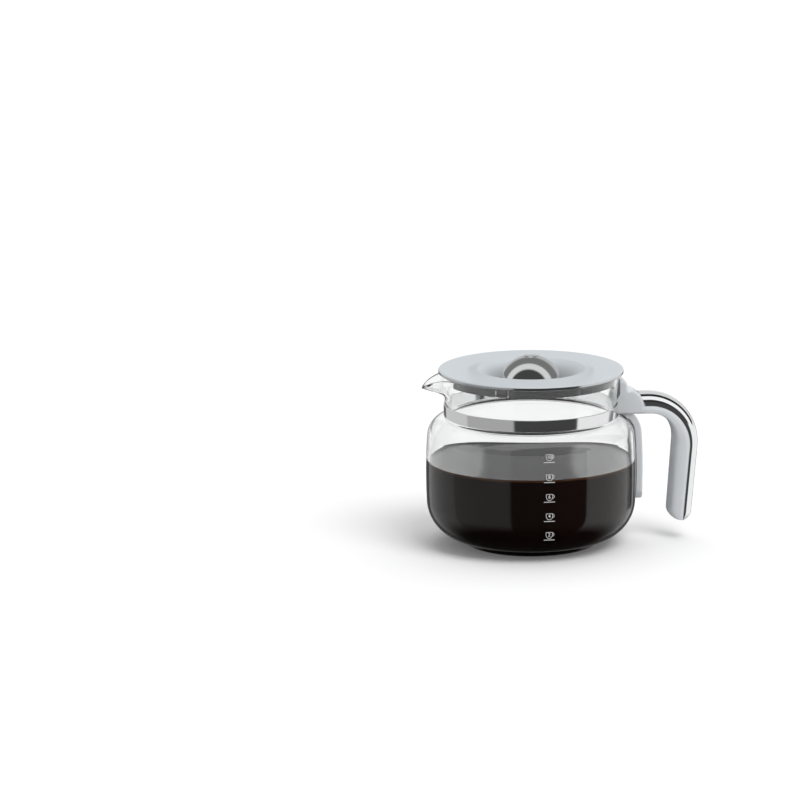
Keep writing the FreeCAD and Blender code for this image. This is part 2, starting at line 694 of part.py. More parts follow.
def make_dome_carrier():
    """Ring under the collar, arms across the drip gap, hub plate and post."""
    low = COLLAR_Z - CARRIER_T
    carrier = tube(HOLE_R, HOLE_R + LID_WALL, low, COLLAR_Z)
    carrier = carrier.fuse(rod(DOME_R, Vector(0, 0, low), Vector(0, 0, HUB_TOP)))
    arm_end = HOLE_R + LID_WALL / 2
    for place in range(CARRIER_ARMS):
        arm = block(0, arm_end, -CARRIER_ARM_W / 2, CARRIER_ARM_W / 2, low, HUB_TOP)
        carrier = carrier.fuse(spun(arm, FULL_TURN / CARRIER_ARMS * place))
    carrier = carrier.fuse(rod(POST_R, Vector(0, 0, low), Vector(0, 0, POST_TOP)))
    hole = rod(DOME_SCREW_R, Vector(0, 0, POST_TOP - DOME_SCREW_BITE), Vector(0, 0, POST_TOP))
    return carrier.cut(hole).removeSplitter()


PIECES = {
    "glass_jug": make_glass_jug,
    "neck_band": make_neck_band,
    "clamp_screw": make_clamp_screw,
    "clamp_nut": make_clamp_nut,
    "screw_plug": make_screw_plug,
    "handle_bracket": make_handle_bracket,
    "spine_pad": make_spine_pad,
    "handle_grip": make_handle_grip,
    "handle_trim": make_handle_trim,
    "grip_screws": make_grip_screws,
    "lid_seal": make_lid_seal,
    "lid_cover": make_lid_cover,
    "lid_insert": make_lid_insert,
    "dome_carrier": make_dome_carrier,
    "lid_dome": make_lid_dome,
    "dome_cap": make_dome_cap,
    "dome_screw": make_dome_screw,
}


def main():
    """Build every piece and write it out."""
    os.makedirs("parts", exist_ok=True)
    for name, make in PIECES.items():
        shape = make()
        print(f"{name}: {len(shape.Solids)} solid(s), {shape.Volume:.1f} mm3, valid {shape.isValid()}")
        shape.exportStep(f"parts/{name}.step")


main()
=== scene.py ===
"""Looks of a glass coffee jug: surfaces, finishes, studio and camera. Metres, +Z up, handle to +X."""
import json
import logging
import math
from dataclasses import dataclass
from enum import Enum
from typing import Any, Sequence

import bmesh
import bpy
import numpy as np
from mathutils import Matrix, Vector


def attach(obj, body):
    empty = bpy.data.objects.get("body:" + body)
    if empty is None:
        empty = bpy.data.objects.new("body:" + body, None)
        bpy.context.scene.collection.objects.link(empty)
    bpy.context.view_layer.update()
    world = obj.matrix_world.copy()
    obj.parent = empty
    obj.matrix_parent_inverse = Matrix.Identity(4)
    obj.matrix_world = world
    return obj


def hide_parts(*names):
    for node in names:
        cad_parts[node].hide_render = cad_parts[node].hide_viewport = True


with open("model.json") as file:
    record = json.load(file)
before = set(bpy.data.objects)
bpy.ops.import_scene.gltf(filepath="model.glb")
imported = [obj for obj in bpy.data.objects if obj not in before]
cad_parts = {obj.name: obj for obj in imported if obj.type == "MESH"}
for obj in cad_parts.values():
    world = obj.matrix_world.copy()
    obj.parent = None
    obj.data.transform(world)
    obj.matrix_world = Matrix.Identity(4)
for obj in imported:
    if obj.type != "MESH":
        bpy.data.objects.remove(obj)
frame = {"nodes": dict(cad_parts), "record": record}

LOG = logging.getLogger("jug")
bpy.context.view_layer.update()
TURN_STEPS = 256  # points round a turned piece
MERGE = 1e-6  # points closer than this become one
SLIVER = 1e-8  # faces thinner than this go
TINY = 1e-12  # keeps a division from zero
CLOUD_SCALE = 35.0  # slow drift of a plastic's tint, waves per metre
GRAIN_SCALE = 3000.0  # fine grain of a plastic, waves per metre
GLOSS_SWING = 0.06  # drift of a plastic's roughness
WHITE = (1.0, 1.0, 1.0, 1.0)

Array = np.ndarray
Material = bpy.types.Material
Object = bpy.types.Object
Pair = tuple[float, float]
Triple = tuple[float, float, float]


class Body(Enum):
    """Bodies of the frame that a piece can ride on."""

    JUG = "jug"
    LID = "lid"


# Shader expressions


class Sock:
    """A shader socket whose operators add Math nodes to its tree."""

    def __init__(self, tree: bpy.types.NodeTree, socket: bpy.types.NodeSocket) -> None:
        """Wrap one output socket of a tree."""
        self.tree = tree
        self.socket = socket

    def _math(self, operation: str, first: Any, second: Any) -> "Sock":
        """Math node of two operands, each a Sock or a number."""
        node = self.tree.nodes.new("ShaderNodeMath")
        node.operation = operation
        for socket, value in zip(node.inputs, (first, second)):
            if isinstance(value, Sock):
                self.tree.links.new(value.socket, socket)
            else:
                socket.default_value = value
        return Sock(self.tree, node.outputs[0])

    def __add__(self, other: Any) -> "Sock":
        """Sum."""
        return self._math("ADD", self, other)

    __radd__ = __add__

    def __mul__(self, other: Any) -> "Sock":
        """Product."""
        return self._math("MULTIPLY", self, other)

    __rmul__ = __mul__

    def __sub__(self, other: Any) -> "Sock":
        """Difference."""
        return self._math("SUBTRACT", self, other)

    def __rsub__(self, other: Any) -> "Sock":
        """Difference from a number."""
        return self._math("SUBTRACT", other, self)

    def over(self, edge: float) -> "Sock":
        """1 where the value is above an edge, else 0."""
        return self._math("GREATER_THAN", self, edge)

    def under(self, edge: float) -> "Sock":
        """1 where the value is below an edge, else 0."""
        return self._math("LESS_THAN", self, edge)

    def step(self, low: float, high: float) -> "Sock":
        """Smooth rise from 0 at one value to 1 at another."""
        node = self.tree.nodes.new("ShaderNodeMapRange")
        node.interpolation_type = "SMOOTHSTEP"
        self.tree.links.new(self.socket, node.inputs["Value"])
        node.inputs["From Min"].default_value = low
        node.inputs["From Max"].default_value = high
        return Sock(self.tree, node.outputs[0])

    def stairs(self, base: float, edges: Sequence[Triple]) -> "Sock":
        """Level that rises from a base by each edge's (rise, low, high), from low to high."""
        level: Any = base
        for rise, low, high in edges:
            level = level + rise * self.step(low, high)
        return level

    def turn(self, other: "Sock") -> "Sock":
        """Angle of (other, self) in degrees."""
        return self._math("ARCTAN2", self, other) * (180 / math.pi)

    def root(self) -> "Sock":
        """Square root."""
        return self._math("SQRT", self, 0.0)

    def peak(self, other: Any) -> "Sock":
        """Larger of two values."""
        return self._math("MAXIMUM", self, other)


class Shader:
    """A node tree under construction."""

    def __init__(self, owner: Any) -> None:
        """Empty the tree of a material or world."""
        owner.use_nodes = True
        self.owner = owner
        self.tree = owner.node_tree
        self.tree.nodes.clear()

    @classmethod
    def named(cls, name: str) -> "Shader":
        """Empty tree of a new material."""
        return cls(bpy.data.materials.new(name))

    def node(self, kind: str, settings: dict[str, Any] | None = None, out: int | str = 0,
             **sockets: Any) -> Sock:
        """Add any node.

        Args:
            kind: node type without its ShaderNode prefix.
            settings: properties set before the sockets.
            out: output to return.
            sockets: values or links, by socket name with _ for spaces, or in_0, in_1 for indices.

        Returns:
            The chosen output.
        """
        made = self.tree.nodes.new(f"ShaderNode{kind}")
        for key, value in (settings or {}).items():
            setattr(made, key, value)
        for name, value in sockets.items():
            socket = made.inputs[int(name[3:]) if name.startswith("in_") else name.replace("_", " ")]
            if isinstance(value, Sock):
                self.tree.links.new(value.socket, socket)
            else:
                socket.default_value = value
        return Sock(self.tree, made.outputs[out])

    def place(self) -> Sock:
        """Object coordinates of the shaded point."""
        return self.node("TexCoord", out="Object")

    def axes(self) -> list[Sock]:
        """The shaded point's x, y and z."""
        split = self.node("SeparateXYZ", Vector=self.place())
        return [Sock(self.tree, socket) for socket in split.socket.node.outputs]

    def noise(self, scale: float, detail: float = 3.0) -> Sock:
        """Even noise on Object coordinates, 0 to 1, with its scale in waves per metre."""
        return self.node("TexNoise", Vector=self.place(), Scale=scale, Detail=detail)

    def bump(self, height: Sock, depth: float) -> Sock:
        """Normal of a relief, 0 to 1, with its depth in metres."""
        return self.node("Bump", Height=height, Distance=depth, Strength=1.0)

    def mix_colour(self, factor: Sock, low: Sock | Triple, high: Triple) -> Sock:
        """Colour between two colours, of which the first may be a socket."""
        first = low if isinstance(low, Sock) else (*low, 1.0)
        return self.node("Mix", {"data_type": "RGBA"}, out=2, in_0=factor, in_6=first, in_7=(*high, 1.0))

    def glow(self, level: Sock) -> Sock:
        """Grey light of a level."""
        colour = self.node("CombineColor", Red=level, Green=level, Blue=level)
        return self.node("Emission", Color=colour, Strength=1.0)

    def surface(self, shader: Sock, kind: str = "OutputMaterial") -> Any:
        """Join a shader to the tree's output and give back the material or world."""
        end = self.tree.nodes.new(f"ShaderNode{kind}")
        self.tree.links.new(shader.socket, end.inputs["Surface"])
        return self.owner


# Finishes


def scaled(colour: Triple, share: float) -> Triple:
    """Darker or paler version of a colour."""
    return tuple(share * c for c in colour)


@dataclass(frozen=True)
class Moulded:
    """Moulded plastic with a fine even grain."""

    colour: Triple
    roughness: float
    coat: float = 0.0
    ior: float = 1.5
    darkest: float = 0.955
    depth: float = 0.000012

    def material(self, name: str) -> Material:
        """Plastic whose tint and gloss vary a little over the surface."""
        shade = Shader.named(name)
        cloud = shade.noise(CLOUD_SCALE)
        tint = shade.mix_colour(cloud, scaled(self.colour, self.darkest), self.colour)
        grain = shade.bump(shade.noise(GRAIN_SCALE), self.depth)
        return shade.surface(shade.node(
            "BsdfPrincipled", Base_Color=tint, Roughness=self.roughness + GLOSS_SWING * (cloud - 0.5),
            IOR=self.ior, Coat_Weight=self.coat, Normal=grain))


@dataclass(frozen=True)
class RimmedPlastic:
    """Satin lid plastic with painted shade darkening its funnel, and a bright rim round its lower edge."""

    colour: Triple
    roughness: float
    rim: Triple
    rim_z: float
    rim_r: float
    rim_blend: float = 0.00008
    rim_roughness: float = 0.12
    # share of the colour and radii of the painted shade in the funnel, standing in for the shade that falls
    # there
    funnel_shade_share: float = 0.56
    funnel_shade_span: Pair = (0.025, 0.038)
    depth: float = 0.00001

    def material(self, name: str) -> Material:
        """Plastic above the rim's height, with painted shade in its funnel, dull metal below it outside the
        rim's radius.
        """
        shade = Shader.named(name)
        x, y, height = shade.axes()
        radius = (x * x + y * y).root()
        above = height.step(self.rim_z - self.rim_blend, self.rim_z + self.rim_blend)
        metal = radius.over(self.rim_r) * (1.0 - above)
        rough = self.roughness + GLOSS_SWING * (shade.noise(CLOUD_SCALE) - 0.5)
        # painted shade: the funnel darkens towards the hole, standing in for the shade that falls in it
        funnel = scaled(self.colour, self.funnel_shade_share)
        tint = shade.mix_colour(radius.step(*self.funnel_shade_span), funnel, self.colour)
        grain = shade.bump(shade.noise(GRAIN_SCALE), self.depth)
        return shade.surface(shade.node(
            "BsdfPrincipled", Base_Color=shade.mix_colour(metal, tint, self.rim), Metallic=metal,
            Roughness=rough - metal * (rough - self.rim_roughness), Normal=grain))


@dataclass(frozen=True)
class Polished:
    """Bright metal with a trace of polishing haze."""

    colour: Triple
    roughness: float
    haze: float = 0.03
    haze_scale: float = 60.0
    haze_detail: float = 4.0

    def material(self, name: str) -> Material:
        """Metal whose roughness drifts slightly, as wiped chrome's does."""
        shade = Shader.named(name)
        cloud = shade.noise(self.haze_scale, self.haze_detail)
        return shade.surface(shade.node("BsdfPrincipled", Base_Color=(*self.colour, 1.0), Metallic=1.0,
                                        Roughness=self.roughness + self.haze * cloud * cloud))


@dataclass(frozen=True)
class ClearGlass:
    """Colourless blown glass."""

    ior: float = 1.47
    greenest: Triple = (0.965, 0.978, 0.974)
    clearest: Triple = (0.992, 0.996, 0.995)
    drift_scale: float = 22.0
    drift_detail: float = 2.0

    def material(self, name: str) -> Material:
        """Glass with a very slight drift in its tint."""
        shade = Shader.named(name)
        drift = shade.noise(self.drift_scale, self.drift_detail)
        return shade.surface(shade.node(
            "BsdfPrincipled", Base_Color=shade.mix_colour(drift, self.greenest, self.clearest), Roughness=0.0,
            IOR=self.ior, Transmission_Weight=1.0))


@dataclass(frozen=True)
class Brew:
    """Black coffee: very dark brown, paler where it is thin at the rim of its surface."""

    deep: Triple = (0.0060, 0.0022, 0.0014)
    thin: Triple = (0.16, 0.055, 0.015)
    palest: float = 1.6
    drift_scale: float = 18.0
    drift_detail: float = 2.0
    side_roughness: float = 0.6
    top_roughness: float = 0.03
    ior: float = 1.33
    ring_w: float = 0.0035
    ring_share: float = 0.35

    def sides(self, name: str) -> Material:
        """Coffee behind glass: no gloss of its own, with slow drifts in its depth of colour."""
        shade = Shader.named(name)
        drift = shade.noise(self.drift_scale, self.drift_detail)
        tint = shade.mix_colour(drift, self.deep, scaled(self.deep, self.palest))
        return shade.surface(shade.node("BsdfPrincipled", Base_Color=tint, Roughness=self.side_roughness,
                                        Specular_IOR_Level=0.0))

    def top(self, name: str, edge: float) -> Material:
        """Still surface of a given radius, amber in a thin ring at its edge."""
        shade = Shader.named(name)
        x, y, _ = shade.axes()
        ring = (x * x + y * y).root().step(edge - self.ring_w, edge)
        tint = shade.mix_colour(ring * self.ring_share, self.deep, self.thin)
        return shade.surface(shade.node("BsdfPrincipled", Base_Color=tint, Roughness=self.top_roughness,
                                        IOR=self.ior))


@dataclass(frozen=True)
class Print:
    """White enamel print fired on the glass."""

    colour: Triple = (0.72, 0.72, 0.71)
    worn: float = 0.88
    cover_scale: float = 900.0
    roughness: float = 0.45

    def material(self, name: str) -> Material:
        """Print with slightly uneven cover."""
        shade = Shader.named(name)
        cover = shade.noise(self.cover_scale)
        tint = shade.mix_colour(cover, scaled(self.colour, self.worn), self.colour)
        return shade.surface(shade.node("BsdfPrincipled", Base_Color=tint, Roughness=self.roughness))


# Meshes


def link(name: str, data: Any) -> Object:
    """Put data into the scene as an object at the origin."""
    made = bpy.data.objects.new(name, data)
    bpy.context.scene.collection.objects.link(made)
    return made


def grid_faces(rows: int, columns: int, wrap_rows: bool, wrap_columns: bool) -> Array:
    """Quads of a grid of points, row by row; wrapped, its last row or column meets the first."""
    index = np.arange(rows * columns).reshape(rows, columns)
    right = np.roll(index, -1, axis=1)
    up = np.roll(index, -1, axis=0)
    both = np.roll(up, -1, axis=1)
    quads = np.stack([index, right, both, up], axis=-1)
    quads = quads[: rows if wrap_rows else rows - 1, : columns if wrap_columns else columns - 1]
    return quads.reshape(-1, 4)


def add_piece(name: str, grid: Array, material: Material, body: Body,
              replaces: Sequence[str] = (), ring: bool = False) -> Object:
    """Put a surface into the scene as a piece of the object.

    Args:
        name: piece name.
        grid: rows of points in metres, each row closed.
        material: finish.
        body: body that carries the piece.
        replaces: nodes that the piece stands for.
        ring: join the last row to the first.

    Returns:
        The new object.
    """
    rows, columns, _ = grid.shape
    mesh = bpy.data.meshes.new(name)
    mesh.from_pydata(grid.reshape(-1, 3), [], grid_faces(rows, columns, ring, True).tolist())
    shell = bmesh.new()
    shell.from_mesh(mesh)
    bmesh.ops.remove_doubles(shell, verts=shell.verts, dist=MERGE)
    bmesh.ops.dissolve_degenerate(shell, edges=shell.edges, dist=SLIVER)
    bmesh.ops.recalc_face_normals(shell, faces=shell.faces)
    shell.to_mesh(mesh)
    shell.free()
    mesh.polygons.foreach_set("use_smooth", np.ones(len(mesh.polygons), bool))
    mesh.materials.append(material)
    piece = link(name, mesh)
    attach(piece, body.value)
    if replaces:
        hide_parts(*replaces)
    LOG.info("%s: %d faces on %s", name, len(mesh.polygons), body.value)
    return piece


def arc(centre: Sequence[float], radius: float, first: float, last: float, steps: int) -> Array:
    """Points on a circle from one angle to another, in degrees: centre + radius (cos, sin)."""
    angle = np.radians(np.linspace(first, last, steps))
    return np.column_stack([centre[0] + radius * np.cos(angle), centre[1] + radius * np.sin(angle)])


def rounded(corners: Sequence[Triple], steps: int = 8) -> Array:
    """Closed outline whose corners (a, b, radius) become tangent arcs of some steps.

    A corner of half angle h and radius r is cut r / tan h from its point, and the arc's centre lies
    r / sin h along the bisector.
    """
    points = np.array([corner[:2] for corner in corners], float)
    pieces = []
    for index, (_, _, radius) in enumerate(corners):
        here = points[index]
        back = points[index - 1] - here
        ahead = points[(index + 1) % len(points)] - here
        back /= np.linalg.norm(back)
        ahead /= np.linalg.norm(ahead)
        if radius == 0:
            pieces.append(here[None])
            continue
        half = math.acos(np.clip(back @ ahead, -1, 1)) / 2
        bisector = (back + ahead) / np.linalg.norm(back + ahead)
        centre = here + bisector * radius / math.sin(half)
        start = here + back * radius / math.tan(half) - centre
        end = here + ahead * radius / math.tan(half) - centre
        share = np.linspace(0, 1, steps)[:, None]
        swing = start * (1 - share) + end * share
        pieces.append(centre + radius * swing / np.linalg.norm(swing, axis=1, keepdims=True))
    return np.vstack(pieces)


def resample(outline: Array, spacing: float) -> Array:
    """Points along a line no further apart than a spacing, its own points kept."""
    runs = [np.linspace(a, b, max(2, int(np.ceil(np.linalg.norm(b - a) / spacing)) + 1))[:-1]
            for a, b in zip(outline[:-1], outline[1:])]
    return np.vstack([*runs, outline[-1:]])


def even_turn(steps: int = TURN_STEPS) -> Array:
    """Angles of a full turn, evenly spaced."""
    return np.linspace(0, 2 * np.pi, steps, endpoint=False)


def spin(profile: Array, turn: Array) -> Array:
    """Surface of revolution (r cos t, r sin t, z) of a profile (r, z), one row per profile point."""
    radius = profile[:, :1]
    height = np.broadcast_to(profile[:, 1:], (len(profile), len(turn)))
    return np.stack([radius * np.cos(turn), radius * np.sin(turn), height], axis=-1)


# Pieces of the object


@dataclass
class GlassJug:
    """Blown jug and its coffee."""

    belly_r: float = 0.076
    belly_z: float = 0.052
    bulge_r: float = 0.420
    heel_r: float = 0.029
    heel_start: float = 4.0  # degrees that the heel's arc leaves to the foot's edge
    foot_r: float = 0.0504
    foot_h: float = 0.004
    foot_round: float = 0.006
    shoulder_r: float = 0.0153
    shoulder_top: float = 0.0944
    throat_round: float = 0.0015
    groove_r: float = 0.0622
    neck_r: float = 0.0636
    rim_z: float = 0.1249
    rim_power: float = 0.4  # below 1 the rim is squarer than a half circle
    rim_steps: int = 9
    band_top: float = 0.1036
    flare_end: float = 0.1230
    flare_steps: int = 18
    wall: float = 0.0022
    foot_steps: int = 10
    heel_steps: int = 28
    belly_steps: int = 22
    crest_steps: int = 28
    throat_steps: int = 9
    spacing: float = 0.0025
    around: int = 320
    crowding: float = 0.6  # how much closer together the columns are at the beak
    spout_reach: float = 0.0161
    spout_drop: float = 0.0070
    spout_angle: float = 10.8
    spout_power: float = 1.735
    spout_start: float = 0.108
    spout_lean: float = 0.25  # share of the beak's height below the drop
    coffee_z: float = 0.061
    coffee_spacing: float = 0.0012
    skin: float = 0.0009  # outside of the glass to the coffee, as the glass shows it
    skin_foot: float = 0.25  # share of the skin at the foot
    skin_rise: float = 0.014  # height at which the skin is full
    dip: float = 0.0005  # hollow in the top of the coffee's sides
    sheet_low: float = 0.0001  # underside of the coffee's surface, above its level
    sheet_high: float = 0.0004  # the surface itself, above its level
    climb: float = 0.0014
    climb_w: float = 0.0018
    sheet_steps: int = 60

    def profile(self) -> Array:
        """Outer line (r, z) from the middle of the foot up to the rim, as tangent arcs and lines."""
        belly = (self.belly_r - self.bulge_r, self.belly_z)
        heel_turn = math.asin((self.foot_h + self.heel_r - self.belly_z) / (self.bulge_r - self.heel_r))
        heel = (belly[0] + (self.bulge_r - self.heel_r) * math.cos(heel_turn), self.foot_h + self.heel_r)
        crest_z = self.shoulder_top - self.shoulder_r
        crest_turn = math.asin((crest_z - self.belly_z) / (self.bulge_r - self.shoulder_r))
        crest = (belly[0] + (self.bulge_r - self.shoulder_r) * math.cos(crest_turn), crest_z)
        throat_x = self.groove_r + self.throat_round
        throat_turn = math.acos((throat_x - crest[0]) / (self.shoulder_r + self.throat_round))
        throat = (throat_x, crest_z + (self.shoulder_r + self.throat_round) * math.sin(throat_turn))
        share = np.linspace(0, 1, self.flare_steps)
        flare_z = self.band_top + (self.flare_end - self.band_top) * share
        flare_r = self.groove_r + (self.neck_r - self.groove_r) * share ** 2 * (3 - 2 * share)
        foot_turn = -math.acos((self.foot_r - heel[0]) / self.heel_r)
        foot_z = heel[1] + self.heel_r * math.sin(foot_turn)
        foot_arc = (self.foot_round ** 2 + foot_z ** 2) / (2 * foot_z)
        foot = (self.foot_r - self.foot_round, foot_arc)
        foot_end = math.atan2(foot_z - foot_arc, self.foot_round)
        deg = math.degrees
        return np.vstack([
            [[0.0, 0.0]],
            arc(foot, foot_arc, -90, deg(foot_end), self.foot_steps),
            arc(heel, self.heel_r, deg(foot_turn) + self.heel_start, deg(heel_turn), self.heel_steps),
            arc(belly, self.bulge_r, deg(heel_turn), deg(crest_turn), self.belly_steps)[1:],
            arc(crest, self.shoulder_r, deg(crest_turn), deg(throat_turn), self.crest_steps)[1:],
            arc(throat, self.throat_round, 180 + deg(throat_turn), 180, self.throat_steps)[1:],
            np.column_stack([flare_r, flare_z]),
            [[self.neck_r, self.rim_z]],
        ])

    def with_spout(self, points: Array) -> Array:
        """Pull the beak out of the neck of a grid.

        With w = exp(-(angle / spread) ^ power) across the beak and t from 0 at its root to 1 at the rim,
        a point moves out by reach w (3 t t - 2 t t t) and down by drop w w ramp(t).
        """
        x, y, z = np.moveaxis(points, -1, 0)
        radius = np.hypot(x, y)
        angle = np.degrees(np.arctan2(y, -x))
        across = np.exp(-(np.abs(angle) / self.spout_angle) ** self.spout_power)
        rise = np.clip((z - self.spout_start) / (self.rim_z - self.spout_start), 0, 1)
        rise = np.where(radius > self.groove_r / 2, rise, 0)
        out = self.spout_reach * across * rise ** 2 * (3 - 2 * rise)
        lean = np.clip((rise - self.spout_lean) / (1 - self.spout_lean), 0, 1)
        down = self.spout_drop * across ** 2 * lean
        scale = (radius + out) / np.maximum(radius, TINY)
        return np.stack([x * scale, y * scale, z - down], axis=-1)

    def turn(self) -> Array:
        """Angles round the jug, closer together at the beak."""
        even = np.linspace(-np.pi, np.pi, self.around, endpoint=False)
        return even + np.pi - self.crowding * np.sin(even)

    def build_glass(self, material: Material) -> None:
        """Closed shell: the outer grid, the same grid moved in along its normals, and a rim between them.

        The rim is middle + arm cos ^ p + rise (sin ^ p - 1) over half a turn, with the sign of the cosine.
        """
        outer = self.with_spout(spin(resample(self.profile(), self.spacing), self.turn()))
        along = np.gradient(outer, axis=0)
        around = np.roll(outer, -1, axis=1) - np.roll(outer, 1, axis=1)
        normal = np.cross(around, along)
        normal /= np.maximum(np.linalg.norm(normal, axis=-1, keepdims=True), TINY)
        normal[0] = (0, 0, -1)
        inner = outer - normal * self.wall
        inner[..., 2] = np.maximum(inner[..., 2], self.wall)
        share = np.radians(np.linspace(0, 180, self.rim_steps))[1:-1, None, None]
        middle = (outer[-1] + inner[-1]) / 2
        arm = (outer[-1] - inner[-1]) / 2
        rise = np.zeros_like(arm)
        rise[:, 2] = self.wall / 2
        cos, sin = np.cos(share), np.sin(share)
        reach = np.sign(cos) * np.abs(cos) ** self.rim_power
        rim = middle + arm * reach + rise * (sin ** self.rim_power - 1)
        outer[-1, :, 2] -= self.wall / 2
        inner[-1, :, 2] -= self.wall / 2
        piece = add_piece("glass_wall", np.concatenate([outer, rim, inner[::-1]]), material, Body.JUG,
                          ["glass_jug"])
        piece.visible_shadow = False

    def coffee_side(self) -> Array:
        """Line of the coffee inside the glass, from the middle of the floor up to its surface."""
        profile = resample(self.profile(), self.coffee_spacing)
        along = np.gradient(profile, axis=0)
        normal = np.column_stack([along[:, 1], -along[:, 0]])
        normal /= np.linalg.norm(normal, axis=1, keepdims=True)
        rise = np.clip(profile[:, 1:] / self.skin_rise, 0, 1)
        side = profile - normal * self.skin * (self.skin_foot + (1 - self.skin_foot) * rise)
        side[:, 1] = np.maximum(side[:, 1], self.skin * self.skin_foot)
        side[:, 0] = np.maximum(side[:, 0], 0)
        return side[(side[:, 1] < self.coffee_z) & (profile[:, 1] < self.rim_z / 2)]

    def build_coffee(self, sides: Material, top: Material) -> None:
        """Coffee as seen through the glass, which draws it out to the wall, and its still surface.

        The surface is z = level + climb exp(-(edge - r) / climb_w), where the coffee wets the wall.
        """
        side = self.coffee_side()
        edge = side[-1, 0]
        closed = np.vstack([side, [[edge, self.coffee_z], [0.0, self.coffee_z - self.dip]]])
        add_piece("coffee", spin(closed, even_turn()), sides, Body.JUG)
        radius = np.linspace(edge, 0, self.sheet_steps)
        height = self.coffee_z + self.sheet_high + self.climb * np.exp(-(edge - radius) / self.climb_w)
        under = np.column_stack([[0.0, edge], np.full(2, self.coffee_z + self.sheet_low)])
        sheet = np.vstack([under, np.column_stack([radius, height])])
        add_piece("coffee_surface", spin(sheet, even_turn()), top, Body.JUG)

    def on_glass(self, flat: Array, proud: float) -> Array:
        """Wrap flat points (sideways, height) round the front of the belly, a little proud of it."""
        bulge = np.sqrt(self.bulge_r ** 2 - (flat[:, 1] - self.belly_z) ** 2)
        radius = self.belly_r - self.bulge_r + bulge + proud
        turn = -np.pi / 2 + flat[:, 0] / self.belly_r
        return np.column_stack([radius * np.cos(turn), radius * np.sin(turn), flat[:, 1]])


@dataclass
class CupMarks:
    """Printed marks on the front of the belly: a line, a small cup and a number."""

    jug: GlassJug
    marks: tuple[tuple[str, float], ...] = (
        ("10", 0.0759), ("8", 0.0614), ("6", 0.0471), ("4", 0.0329), ("2", 0.0191))
    line_w: float = 0.0080
    line_t: float = 0.00046
    line_steps: int = 9
    cup_w: float = 0.0047
    cup_h: float = 0.0044
    cup_lift: float = 0.0012
    cup_power: float = 0.55  # how square the bowl is
    cup_steps: int = 25
    ear_x: float = 0.98  # of half the cup's width
    ear_drop: float = 0.36  # of the cup's height, and so are the next two
    ear_r: float = 0.27
    digit_h: float = 0.80
    digit_z: float = 0.56
    digit_swell: float = 0.00002
    ear_turn: Pair = (75.0, -95.0)
    ear_steps: int = 14
    stroke: float = 0.00032
    proud: float = 0.00006

    @staticmethod
    def ribbon(line: Array, width: float) -> tuple[Array, Array]:
        """Points and quads of a flat ribbon: each point of a line goes half a width to either side."""
        along = np.gradient(line, axis=0)
        side = np.column_stack([-along[:, 1], along[:, 0]])
        side *= width / 2 / np.linalg.norm(side, axis=1, keepdims=True)
        points = np.stack([line + side, line - side], axis=1)
        return points.reshape(-1, 2), grid_faces(len(line), 2, False, False)

    def cup_lines(self, z: float) -> list[Array]:
        """Lines of a cup that stands at a height: bowl, brim and ear."""
        half = self.cup_w / 2
        brim = z + self.cup_h
        share = np.linspace(0, np.pi, self.cup_steps)
        bowl = np.column_stack([-half * np.cos(share), brim - self.cup_h * np.sin(share) ** self.cup_power])
        ear = arc((half * self.ear_x, brim - self.cup_h * self.ear_drop), self.cup_h * self.ear_r,
                  *self.ear_turn, self.ear_steps)
        return [bowl, np.array([[-half, brim], [0, brim], [half, brim]]), ear]

    def digits(self, text: str, z: float) -> tuple[Array, Array]:
        """Points and triangles of a number inside a cup, read from a text outline."""
        curve = bpy.data.curves.new("number", "FONT")
        curve.body = text
        curve.align_x = "CENTER"
        curve.align_y = "CENTER"
        curve.size = self.cup_h * self.digit_h
        curve.offset = self.digit_swell
        holder = link("number", curve)
        bpy.context.view_layer.update()
        mesh = bpy.data.meshes.new_from_object(holder.evaluated_get(bpy.context.evaluated_depsgraph_get()))
        mesh.calc_loop_triangles()
        points = np.zeros(len(mesh.vertices) * 3)
        mesh.vertices.foreach_get("co", points)
        triangles = np.zeros(len(mesh.loop_triangles) * 3, int)
        mesh.loop_triangles.foreach_get("vertices", triangles)
        bpy.data.objects.remove(holder)
        bpy.data.curves.remove(curve)
        flat = points.reshape(-1, 3)[:, :2] + (0, z + self.cup_h * self.digit_z)
        return flat, triangles.reshape(-1, 3)

    def build(self, material: Material) -> None:
        """All marks as one print a hair outside the glass."""
        flats: list[Array] = []
        faces: list[list[int]] = []
        count = 0
        sideways = np.linspace(-self.line_w / 2, self.line_w / 2, self.line_steps)
        for text, z in self.marks:
            parts = [self.ribbon(np.column_stack([sideways, np.full_like(sideways, z)]), self.line_t)]
            parts += [self.ribbon(line, self.stroke) for line in self.cup_lines(z + self.cup_lift)]
            parts.append(self.digits(text, z + self.cup_lift))
            for points, corners in parts:
                flats.append(points)
                faces += (corners + count).tolist()
                count += len(points)
        mesh = bpy.data.meshes.new("cup_marks")
        mesh.from_pydata(self.jug.on_glass(np.vstack(flats), self.proud), [], faces)
        mesh.materials.append(material)
        piece = link("cup_marks", mesh)
        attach(piece, Body.JUG.value)
        LOG.info("cup_marks: %d faces on %s", len(mesh.polygons), Body.JUG.value)


@dataclass
class NeckBand:
    """Polished strip round the neck."""

    inner: float = 0.0623
    outer: float = 0.0631
    low: float = 0.0950
    high: float = 0.1036
    edge: float = 0.00035

    def build(self, material: Material) -> None:
        """Ring with rolled edges; its ears stay hidden in the bracket."""
        outline = rounded([(self.inner, self.low, self.edge), (self.outer, self.low, self.edge),
                           (self.outer, self.high, self.edge), (self.inner, self.high, self.edge)])
        add_piece("band_strip", spin(outline, even_turn()), material, Body.JUG, ["neck_band"],
                  ring=True)


